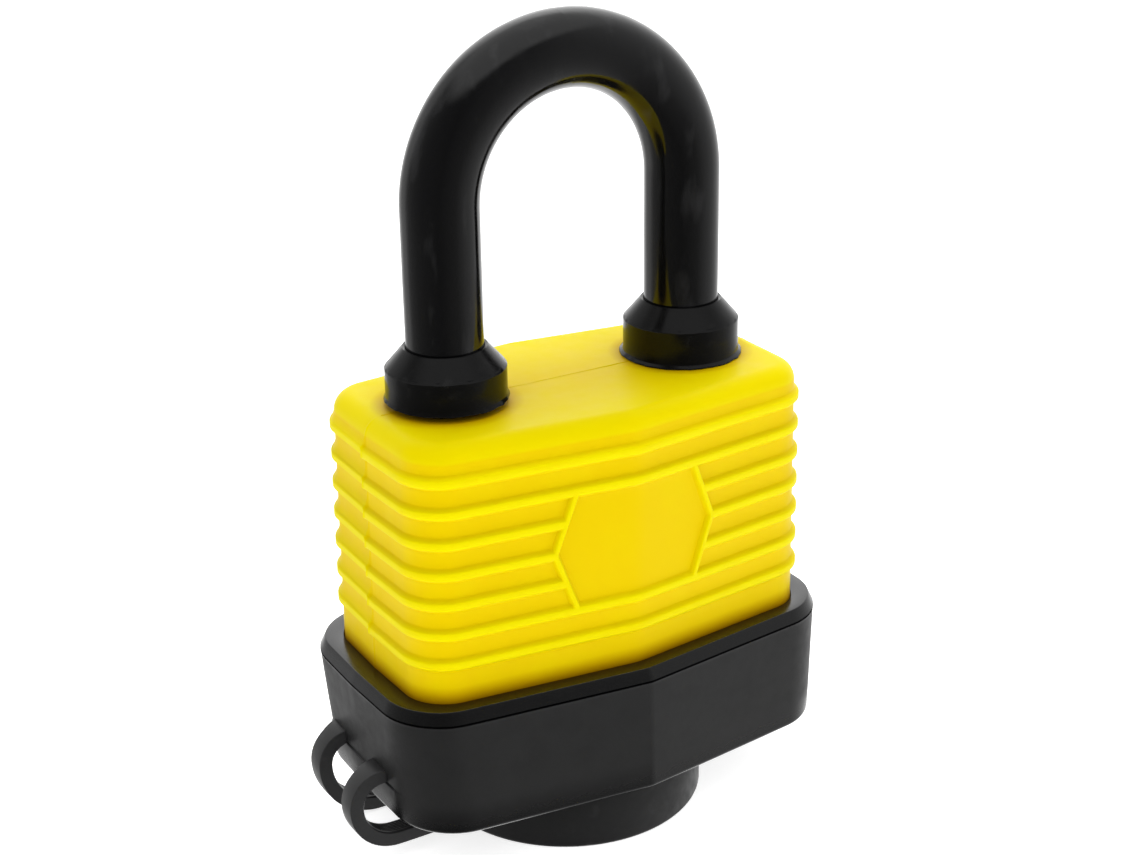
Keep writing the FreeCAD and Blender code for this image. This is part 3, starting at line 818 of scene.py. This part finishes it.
@dataclass
class BaseCup:
    """The black cup that holds the jacket's foot, with a chamfered rim and a round hole for the cap."""

    jacket: Jacket
    bottom: tuple[float, float, float] = (52.0, 25.9, 32.2)
    bottom_x: float = 0.4
    rim: tuple[float, float, float] = (53.5, 26.1, 32.6)
    wall_top: float = 19.4
    chamfer: float = 0.6           # how far the rim leans in
    corner_r: float = 7.1
    ridge_r: float = 2.6
    bulge: float = 0.35
    cuts: tuple[float, ...] = (6.0, 12.0, 18.0)
    mouth_cuts: tuple[float, ...] = (6.0, 12.0, 17.0)
    edge_r: float = 0.7
    floor: float = 1.8
    hole_r: float = 13.0
    hole_x: float = -0.8
    hole_ease: float = 0.15
    hole_steps: int = 96
    clear: float = 0.08
    skin: float = 0.09             # how far the uneven wall stays inside the CAD's
    groove: tuple[Point, ...] = (  # height from the rim's foot and rise, up to and through the groove
        (-5.0, 0.0), (-0.62, 0.0), (-0.36, 0.0), (-0.3, 0.03), (-0.2, 0.03), (-0.18, -0.33), (-0.02, -0.33),
        (0.0, 0.0))
    rim_rings: tuple[float, ...] = (0.06, 0.5, 0.96)     # shares of the rim's climb
    crown: tuple[Point, ...] = ((-0.015, 0.01), (0.0, 0.07))   # height from the top, and how far in
    lip: tuple[Point, ...] = ((0.0, 0.1), (-0.02, 0.03), (-0.12, 0.0))   # the same, out from the mouth
    tear: Point = (0.035, 1.6)     # the unevenness near the groove: how deep and how broad
    tear_reach: float = 0.45
    wander: Point = (0.02, 8.0)    # and all over the wall
    mould_line: float = 3.85       # height of the line across the heel end, above the cup's bottom
    line_rings: tuple[float, ...] = (-0.16, -0.05, 0.05, 0.18)
    line_x: Point = (23.2, 24.6)   # how far towards the heel the line fades in
    line_y: float = 1.5            # the line's middle
    line_half: Point = (8.0, 10.0)   # and how far either side it fades out
    line_depth: float = 0.14
    band_rise: float = 0.09        # how proud the band under the line stands
    sunk: float = 0.05             # how deep the wall above it sinks, and over what height
    sunk_over: Point = (0.06, 2.4)
    satin_to: float = 0.25         # the satin wall ends this far under the rim's foot

    def __post_init__(self) -> None:
        """Take the heights from the CAD and trace the outlines."""
        low, high = node_box("base_cup")
        self.z0, self.z1 = low.z, high.z
        self.plan = Plan(*self.rim, corner_r=self.corner_r, ridge_r=self.ridge_r, bulge=self.bulge,
                         cuts=self.cuts).trace()
        self.mouth = self.jacket.outline(self.jacket.size(self.z1), self.mouth_cuts)

    def place(self, index: int, z: float, rise: float) -> Vector:
        """Put a point of the outer outline at a height, out from the drafted wall."""
        point, normal = self.plan[index]
        k = min(1.0, (z - self.z0) / (self.wall_top - self.z0))
        x = point.x * (1 + (1 - k) * (self.bottom[0] / self.rim[0] - 1)) + self.bottom_x * (1 - k)
        y = point.y * (1 + (1 - k) * (self.bottom[2] / self.rim[2] - 1))
        return Vector((x, y, z)) + normal * rise

    def inner(self, index: int, z: float, rise: float = 0.0) -> Vector:
        """Put a point of the jacket-shaped mouth at a height."""
        point, normal = self.mouth[index]
        spot = point + normal * (self.clear + rise)
        return Vector((spot.x, spot.y, z))

    def profile(self) -> list[tuple[float, float]]:
        """List the outer wall's (height, rise) steps from the bottom edge up to the rim."""
        fillet = [(self.z0 + self.edge_r * (1 - math.sin(a)), self.edge_r * (math.cos(a) - 1))
                  for a in (math.radians(90 - 15 * i) for i in range(7))]
        line, climb = self.z0 + self.mould_line, self.z1 - self.wall_top
        wall = [(line + up, 0) for up in self.line_rings]
        groove = [(self.wall_top + up, rise) for up, rise in self.groove]
        rim = [(self.wall_top + climb * k, -self.chamfer * k) for k in self.rim_rings]
        rim += [(self.z1 + up, -self.chamfer - back) for up, back in self.crown]
        return fillet + wall + groove + rim

    def heel_line(self, spot: Vector) -> float:
        """Sink the mould line across the heel end, where the lower band stands a little proud."""
        height = spot.z - self.z0 - self.mould_line
        across = ease(-spot.x, *self.line_x) * (1 - ease(abs(spot.y - self.line_y), *self.line_half))
        _, low, high, _ = self.line_rings
        if height > high / 2:
            return -self.sunk * across * (1 - ease(height, *self.sunk_over))
        return (self.band_rise if height < 2 * low else -self.line_depth) * across

    def build(self) -> BMesh:
        """Grow the wall up, over the rim and down inside, then close the floor round the cap hole.

        Returns:
            The closed cup.
        """
        bm = bmesh.new()
        count = range(len(self.plan))
        steps = self.profile()
        satin = bm.verts.layers.float.new("satin")
        wall = Wall(bm, [self.place(i, *steps[0]) for i in count])
        sole = loop_edges(wall.ring)
        for z, rise in steps[1:]:
            places = []
            for i in count:
                spot = self.place(i, z, 0)
                near = abs(z - self.wall_top) < self.tear_reach
                torn = self.tear[0] * ripple(*spot, self.tear[1]) if near else 0.0
                places.append(self.place(i, z, rise - self.skin + self.heel_line(spot) + torn
                                         + self.wander[0] * ripple(*spot, self.wander[1])))
            wall.grow(places)
            for vert in wall.ring:
                vert[satin] = float(self.z0 + self.edge_r < z < self.wall_top - self.satin_to)
        for up, out in self.lip:
            wall.grow([self.inner(i, self.z1 + up, out) for i in count])
        wall.grow([self.inner(i, self.z0 + self.floor) for i in count])
        top, foot = bore(bm, self.hole_x, self.hole_r, self.z0 + self.floor, self.z0, self.hole_ease,
                         self.hole_steps)
        bmesh.ops.triangle_fill(bm, use_beauty=True, edges=loop_edges(wall.ring) + top, normal=(0, 0, 1))
        bmesh.ops.triangle_fill(bm, use_beauty=True, edges=sole + foot, normal=(0, 0, -1))
        return bm

    def make(self) -> None:
        """Build the cup and stand it in for its CAD node."""
        dress(self.build(), "chamfered_base_cup", CUP_BLACK, Body.BODY, ["base_cup"],
              sharp=math.radians(50))


# ---- cap and its straps

@dataclass
class KeywayCap:
    """The round cap over the keyway: a drum with a thinner spigot that snaps into the cup."""

    edge_r: float = 0.55
    floor: float = 1.8
    drum_top: float = 6.0
    spigot_r: float = 12.8
    spigot_wall: float = 1.4
    underside: tuple[Point, ...] = (       # radius and height: the middle nib and the dished underside
        (0.0, 0.25), (0.9, 0.25), (1.1, 0.12), (1.5, 0.12), (1.7, 0.3), (11.2, 0.3), (11.6, 0.04), (12.0, 0.0))
    bead: tuple[Point, ...] = (            # the spigot's snap bead: out from it, and down from its end
        (0.0, 1.0), (0.09, 0.7), (0.0, 0.35), (-0.25, 0.0))
    dish: tuple[Point, ...] = (            # the recess inside: radius, and height above the floor
        (5.2, 0.0), (5.0, 0.25), (4.4, 0.25), (4.2, 0.0), (0.0, 0.0))
    steps: int = 160

    def __post_init__(self) -> None:
        """Take the drum's size and place from the CAD."""
        low, high = node_box("keyway_cap")
        self.x, self.radius = (low.x + high.x) / 2, (high.x - low.x) / 2
        self.z0, self.z1 = low.z, high.z

    def profile(self) -> list[Point]:
        """List the cap's section, from the middle of its underside round to the middle inside."""
        centre, rim = self.radius - self.edge_r, self.drum_top
        heel = [(centre + x, self.z0 + self.edge_r + z) for x, z in arc(self.edge_r, -90, 0, 6)]
        bead = [(self.spigot_r + out, self.z1 - down) for out, down in self.bead]
        inner = self.spigot_r - self.spigot_wall
        return [*((radius, self.z0 + up) for radius, up in self.underside), *heel,
                (self.radius, self.z0 + 2.5), (self.radius, rim - 0.25), (self.radius - 0.08, rim - 0.07),
                (self.radius - 0.25, rim), (self.spigot_r + 0.15, rim), (self.spigot_r, rim + 0.3), *bead,
                (inner + 0.2, self.z1), (inner, self.z1 - 0.2), (inner, self.floor + 0.3),
                (inner - 0.3, self.floor), *((radius, self.floor + up) for radius, up in self.dish)]

    def make(self) -> None:
        """Turn the cap's section and stand it in for its CAD node."""
        bm = bmesh.new()
        revolve(bm, self.profile(), self.x, self.steps)
        dress(bm, "round_keyway_cap", CAP_BLACK, Body.CAP, ["keyway_cap"])


@dataclass
class Strap:
    """One of the two flat straps that loop from the cup's heel end round to the cap."""

    node: str
    y: float
    reach: float              # x of the loop's widest point
    low_r: float              # outer radius under that point
    width: float = 2.35
    thickness: float = 1.6
    top_r: float = 4.15
    mid_z: float = 7.4
    root_x: float = -24.6
    end_x: float = -13.6
    root_flare: float = 1.3
    root_run: Point = (0.6, 1.2)   # the flare ends between these, from the root and before the widest point
    corner_r: float = 0.13
    crown: float = 0.03
    inner_chamfer: Point = (0.1, 0.06)
    ridges: int = 6
    ridge_inset: float = 0.35
    ridge_depth: float = 0.05
    wander: Point = (0.06, 4.0)    # how far it wanders sideways, and over what length
    top_steps: int = 16
    low_steps: int = 22

    def section(self, bm: BMesh) -> list[BMEdge]:
        """Draw the strap's section at its root: rounded corners, and fine ridges on the inner face."""
        half_y, half_z = self.width / 2, self.thickness / 2
        z = self.mid_z + self.top_r - half_z - self.crown
        ridge_run = [(-half_y + self.ridge_inset
                      + (self.width - 2 * self.ridge_inset) * i / (2 * self.ridges), i % 2)
                     for i in range(2 * self.ridges + 1)]
        eased, (cut_y, cut_z) = self.corner_r, self.inner_chamfer
        outline = [(half_y, -half_z + eased), (half_y, half_z - eased)]
        outline += [(half_y - eased + x, half_z - eased + y) for x, y in arc(eased, 0, 90, 4)[1:-1]]
        outline += [(half_y - eased, half_z), (0, half_z + self.crown), (-half_y + eased, half_z)]
        outline += [(-half_y + eased + x, half_z - eased + y) for x, y in arc(eased, 90, 180, 4)[1:-1]]
        outline += [(-half_y, half_z - eased), (-half_y, -half_z + eased), (-half_y + cut_y, -half_z + cut_z)]
        outline += [(y, -half_z + self.ridge_depth * up) for y, up in ridge_run]
        outline += [(half_y - cut_y, -half_z + cut_z)]
        ring = [bm.verts.new((self.root_x, self.y + dy, z + dz)) for dy, dz in outline]
        return list(bm.faces.new(ring).edges)

    def sweep(self, bm: BMesh) -> None:
        """Run the section out from the cup, round both bends and in under the cup to the cap."""
        edges = self.section(bm)
        top_x, low_x = self.reach + self.top_r, self.reach + self.low_r
        run = (top_x - self.root_x) / 5
        for _ in range(5):
            edges = grow_edges(bm, edges, Vector((run, 0, 0)))
        for x, steps in ((top_x, self.top_steps), (low_x, self.low_steps)):
            swept = bmesh.ops.spin(bm, geom=edges, cent=(x, self.y, self.mid_z), axis=(0, 1, 0),
                                   angle=-math.pi / 2, steps=steps, use_merge=False)["geom_last"]
            edges = [g for g in swept if isinstance(g, BMEdge)]
        run = (self.end_x - low_x) / 8
        for _ in range(8):
            edges = grow_edges(bm, edges, Vector((run, 0, 0)))
        bmesh.ops.edgeloop_fill(bm, edges=edges)

    def shape(self, bm: BMesh) -> None:
        """Flare the root where it leaves the cup, and let the strap wander a little."""
        for vert in bm.verts:
            upper = vert.co.z > self.mid_z
            fade = ease(-vert.co.x, -self.root_x + self.root_run[0], -self.reach - self.root_run[1])
            flare = 1 - fade if upper else 0.0
            side = (vert.co.y - self.y) * (1 + (self.root_flare - 1) * flare)
            vert.co.y = self.y + side + self.wander[0] * ripple(vert.co.x, self.y, vert.co.z, self.wander[1])

    def make(self) -> None:
        """Sweep and shape the strap, bake its place, and stand it in for its CAD node, on no body."""
        bm = bmesh.new()
        self.sweep(bm)
        self.shape(bm)
        piece = dress(bm, self.node + "_loop", STRAP_BLACK, None, [self.node])
        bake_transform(piece)


# ---- the shackle

@dataclass
class Collar:
    """A turned collar round one shackle leg, with a coned top and a thin torn lip at its foot."""

    node: str
    name: str
    lip_r: float
    seat_h: float                  # the lip's underside above the skirt's end
    radius: float = 6.2
    top_r: float = 4.3
    lip_h: float = 0.35
    cone_z: float = 52.1
    skirt_r: float = 4.5
    bore_r: float = 4.04
    rod_r: float = 3.28
    ledge_h: float = 2.0
    lip_edge: tuple[Point, ...] = (    # out from the lip, and up from its seat
        (-0.12, 0.0), (0.0, 0.07), (-0.04, 0.15))
    lip_root: Point = (0.06, 0.12)     # the fillet from the lip to the barrel
    barrel_ring: float = 1.6           # below the cone
    cone_ease: float = 0.12
    rings: int = 18
    ring_depth: float = 0.014
    tear: Point = (0.1, 0.07)          # how far the torn lip wanders out and hangs down
    tear_sizes: Point = (1.3, 0.45)    # its broad and fine teeth
    fine_share: float = 0.6
    brow: Point = (0.07, 0.9)          # how deep and how broad the cone's foot wanders
    steps: int = 144

    def __post_init__(self) -> None:
        """Take the collar's place and heights from the CAD."""
        low, high = node_box(self.node)
        self.x, self.z0, self.z1 = (low.x + high.x) / 2, low.z, high.z
        self.seat = self.z0 + self.seat_h
        self.ledge = self.z0 + self.ledge_h

    def profile(self) -> list[Point]:
        """List the collar's section: skirt, lip, barrel, ringed cone, then down the bore."""
        out, up = self.lip_root
        lip = [(self.skirt_r, self.seat), *((self.lip_r + x, self.seat + z) for x, z in self.lip_edge),
               (self.radius + out, self.seat + self.lip_h), (self.radius, self.seat + self.lip_h + up)]
        barrel = [(self.radius, self.cone_z - self.barrel_ring), (self.radius, self.cone_z - self.cone_ease)]
        cone = []
        for i in range(2 * self.rings + 1):
            k = i / (2 * self.rings)
            groove = self.ring_depth if i % 2 else 0.0
            radius = self.radius + (self.top_r - self.radius) * k - groove
            cone.append((radius, self.cone_z + (self.z1 - self.cone_z) * k - groove))
        bore_wall = [(self.bore_r, self.z1 - 0.05), (self.bore_r, self.ledge), (self.rod_r, self.ledge),
                     (self.rod_r, self.z0), (self.skirt_r, self.z0)]
        return lip + barrel + cone + bore_wall

    def roughen(self, bm: BMesh) -> None:
        """Tear the lip's edge and the ring under the cone a little, as a trimmed moulding is."""
        for vert in bm.verts:
            reach = Vector((vert.co.x - self.x, vert.co.y, 0))
            across = reach.normalized() if reach.length else reach
            if reach.length > self.radius + 0.03 and vert.co.z < self.seat + 0.3:
                broad, fine = (ripple(*(across * self.radius), size) for size in self.tear_sizes)
                tear = broad + self.fine_share * fine
                vert.co += across * self.tear[0] * tear
                vert.co.z -= self.tear[1] * max(0.0, tear)
            elif abs(vert.co.z - self.cone_z) < 0.2 and reach.length > self.radius - 0.2:
                vert.co.z += self.brow[0] * ripple(*(across * self.radius), self.brow[1])

    def make(self) -> None:
        """Turn the collar and stand it in for its CAD node."""
        bm = bmesh.new()
        revolve(bm, self.profile(), self.x, self.steps)
        self.roughen(bm)
        dress(bm, self.name, COLLAR_BLACK, Body.SHACKLE, [self.node], sharp=math.radians(28))


@dataclass
class ShackleSleeve:
    """The glossy tube over the shackle rod."""

    rod_r: float = 3.3
    wander: Point = (0.015, 6.0)   # how deep and how broad the skin's unevenness is
    sides: int = 72
    leg_steps: int = 14
    bow_steps: int = 64

    def __post_init__(self) -> None:
        """Take the legs, ends and bow from the CAD."""
        low, high = node_box("shackle_sleeve")
        self.radius = high.y
        self.leg_x = high.x - self.radius
        self.z0 = low.z
        self.bow_z = high.z - self.leg_x - self.radius

    def tube(self, bm: BMesh, radius: float) -> tuple[list[BMEdge], list[BMEdge]]:
        """Sweep one skin up the heel leg, round the bow and down the toe leg.

        Args:
            bm: The mesh.
            radius: The skin's radius.

        Returns:
            The edges round its two ends.
        """
        start = bmesh.ops.create_circle(bm, cap_ends=False, radius=radius, segments=self.sides,
                                        matrix=Matrix.Translation((-self.leg_x, 0, self.z0)))["verts"]
        first = list({edge for vert in start for edge in vert.link_edges})
        edges, step = first, (self.bow_z - self.z0) / self.leg_steps
        for _ in range(self.leg_steps):
            edges = grow_edges(bm, edges, Vector((0, 0, step)))
        swept = bmesh.ops.spin(bm, geom=edges, cent=(0, 0, self.bow_z), axis=(0, 1, 0), angle=math.pi,
                               steps=self.bow_steps, use_merge=False)["geom_last"]
        edges = [g for g in swept if isinstance(g, BMEdge)]
        for _ in range(self.leg_steps):
            edges = grow_edges(bm, edges, Vector((0, 0, -step)))
        return first, edges

    def shape(self, bm: BMesh) -> None:
        """Give the outer skin a faint unevenness."""
        for vert in bm.verts:
            rise = vert.co.z - self.bow_z
            out = Vector((vert.co.x, 0, max(rise, 0.0)))
            skin = math.hypot(out.length - self.leg_x, vert.co.y)
            if skin < self.radius - 0.1:
                continue
            middle = Vector((math.copysign(self.leg_x, vert.co.x), 0, vert.co.z))
            if rise > 0:
                middle = out.normalized() * self.leg_x + Vector((0, 0, self.bow_z))
            across = (vert.co - middle).normalized()
            vert.co -= across * self.wander[0] * (1 + ripple(*vert.co, self.wander[1]))

    def make(self) -> None:
        """Sweep both skins, join them at the ends and stand the tube in for its CAD node."""
        bm = bmesh.new()
        outer, inner = self.tube(bm, self.radius), self.tube(bm, self.rod_r)
        for edges in zip(outer, inner):
            bmesh.ops.bridge_loops(bm, edges=edges[0] + edges[1])
        self.shape(bm)
        dress(bm, "shackle_tube", SLEEVE_BLACK, Body.SHACKLE, ["shackle_sleeve"])


# ---- the metalwork

@dataclass
class Metalwork:
    """The steel and brass inside, which keeps its CAD shape and takes its finish by material slot."""

    finishes: tuple[tuple[str, Finish], ...] = (
        ("shackle_steel", SHACKLE_STEEL), ("plate_steel", PLATE_STEEL),
        ("spring_steel", SPRING_STEEL), ("brass", BRASS))

    def make(self) -> None:
        """Give every metal node its finish."""
        by_slot = dict(self.finishes)
        for part in frame["record"]["subparts"]:
            finish = by_slot.get(part["material_slot"])
            if finish is None:
                continue
            mesh = frame["nodes"][part["node"]].data
            mesh.materials.clear()
            mesh.materials.append(finish.material())
            LOG.info("%s: %s", part["node"], finish.name)


# ---- the studio

@dataclass(frozen=True)
class Lamp:
    """A soft square light that shows in no reflection."""

    name: str
    azimuth: float                 # degrees round from the camera's side, anticlockwise from above
    elevation: float
    distance: float                # metres from the padlock
    size: float                    # metres
    power: float                   # watts


@dataclass
class Studio:
    """A white table under soft light, in a room that is pale behind the padlock and dark behind the camera."""

    azimuth: float = 30.832        # the camera stands this far round towards the heel end
    elevation: float = 21.593
    roll: float = -0.8465
    distance: float = 207.98
    target: tuple[float, float, float] = (0.243, 0.055, 42.18)
    focal: float = 1961.7          # in picture widths of 1140
    frame_width: float = 1140.0
    table: float = 6.0             # metres
    round_levels: tuple[Point, ...] = (            # the room's brightness by degrees round from the camera
        (-180, 1.9), (-154, 1.3), (-134, 0.6), (-114, 0.68), (-98, 0.32), (-74, 0.2), (-47, 0.12), (0, 0.07),
        (23, 0.12), (47, 0.18), (75, 0.42), (106, 0.6), (132, 0.9), (155, 1.4), (180, 1.9))
    overhead_level: float = 0.85
    overhead_from: Point = (0.66, 0.82)            # the direction's upward share where it takes over
    lamps: tuple[Lamp, ...] = (
        Lamp("key_light", -38.0, 42.0, 0.75, 0.55, 1.6),
        Lamp("fill_light", 42.0, 28.0, 0.8, 0.6, 1.5),
        Lamp("top_light", 160.0, 72.0, 0.7, 0.5, 3.7))

    def direction(self, azimuth: float, elevation: float) -> Vector:
        """Point away from the padlock, with the azimuth measured from the camera's side."""
        turn, climb = math.radians(azimuth - self.azimuth), math.radians(elevation)
        return Vector((math.sin(turn) * math.cos(climb), -math.cos(turn) * math.cos(climb), math.sin(climb)))

    def camera(self) -> None:
        """Stand the camera at its place, turned by its small roll."""
        back = self.direction(0, self.elevation)
        right = Vector((0, 0, 1)).cross(back).normalized()
        up = back.cross(right)
        roll = math.radians(self.roll)
        level = Matrix((right * math.cos(roll) + up * math.sin(roll),
                        up * math.cos(roll) - right * math.sin(roll), back)).transposed().to_4x4()
        lens = bpy.data.cameras.new("studio_camera")
        lens.sensor_width = 36.0
        lens.lens = self.focal * lens.sensor_width / self.frame_width
        lens.clip_start, lens.clip_end = 0.01, 20.0
        camera = bpy.data.objects.new("studio_camera", lens)
        camera.matrix_world = Matrix.Translation((Vector(self.target) + back * self.distance) * MM) @ level
        bpy.context.scene.collection.objects.link(camera)
        bpy.context.scene.camera = camera

    def light(self) -> None:
        """Hang the soft lamps."""
        centre = Vector(self.target) * MM
        for lamp in self.lamps:
            data = bpy.data.lights.new(lamp.name, "AREA")
            data.size, data.energy = lamp.size, lamp.power
            away = self.direction(lamp.azimuth, lamp.elevation)
            item = bpy.data.objects.new(lamp.name, data)
            item.matrix_world = (Matrix.Translation(centre + away * lamp.distance)
                                 @ away.to_track_quat("Z", "Y").to_matrix().to_4x4())
            item.visible_glossy = False
            bpy.context.scene.collection.objects.link(item)

    def room(self) -> None:
        """Paint the room round the table: dim behind the camera, pale at the sides, bright behind."""
        world = bpy.data.worlds.new("studio_room")
        world.use_nodes = True
        bpy.context.scene.world = world
        nodes = Nodes(world.node_tree)
        sight = nodes.add("ShaderNodeTexCoord").outputs["Generated"]
        facing, shares = self.direction(0, 0), []
        for axis in (Vector((0, 0, 1)).cross(facing), facing):
            dot = nodes.add("ShaderNodeVectorMath", operation="DOT_PRODUCT")
            dot.inputs[1].default_value = axis
            nodes.join(sight, dot.inputs[0])
            shares.append(dot.outputs["Value"])
        turn = nodes.span(nodes.math("ARCTAN2", *shares), -math.pi, math.pi, 0, 1)
        ramp = nodes.add("ShaderNodeValToRGB")
        nodes.join(turn, ramp.inputs["Fac"])
        stops, brightest = ramp.color_ramp.elements, max(level for _, level in self.round_levels)
        for i, (degrees, level) in enumerate(self.round_levels):
            spot = (degrees + 180) / 360
            stop = stops[i] if i < 2 else stops.new(spot)
            stop.position, stop.color = spot, (*[level / brightest] * 3, 1)
        height = nodes.add("ShaderNodeSeparateXYZ")
        nodes.join(sight, height.inputs[0])
        above = nodes.span(height.outputs["Z"], *self.overhead_from, 0, 1, "SMOOTHSTEP")
        colour = nodes.mix(above, ramp.outputs["Color"], [self.overhead_level / brightest] * 3)
        background = nodes.tree.nodes["Background"]
        nodes.join(colour, background.inputs["Color"])
        background.inputs["Strength"].default_value = brightest

    def floor(self) -> None:
        """Lay the table under the cap."""
        bm = bmesh.new()
        bmesh.ops.create_grid(bm, x_segments=1, y_segments=1, size=self.table / 2)
        bmesh.ops.translate(bm, verts=bm.verts, vec=(0, 0, node_box("keyway_cap")[0].z * MM))
        mesh = bpy.data.meshes.new("studio_table")
        bm.to_mesh(mesh)
        bm.free()
        mesh.materials.append(PaleFloor().material())
        table = bpy.data.objects.new("studio_table", mesh)
        table.visible_glossy = False
        bpy.context.scene.collection.objects.link(table)

    def make(self) -> None:
        """Set up the camera, light, room and table."""
        bpy.context.scene.view_settings.view_transform = "Standard"
        self.camera()
        self.light()
        self.room()
        self.floor()
        LOG.info("studio: %d lamps", len(self.lamps))


def main() -> None:
    """Build the studio and every sub-assembly in order."""
    logging.basicConfig(level=logging.INFO, format="%(message)s")
    Studio().make()
    Metalwork().make()
    jacket = Jacket()
    jacket.make()
    BaseCup(jacket).make()
    KeywayCap().make()
    Strap("cap_strap_front", y=-3.75, reach=-29.8, low_r=5.6).make()
    Strap("cap_strap_rear", y=5.9, reach=-28.9, low_r=7.15).make()
    Collar("heel_collar", "heel_leg_collar", lip_r=6.4, seat_h=1.8).make()
    Collar("toe_collar", "toe_leg_collar", lip_r=6.6, seat_h=1.25).make()
    ShackleSleeve().make()


if __name__ == "__main__":
    main()
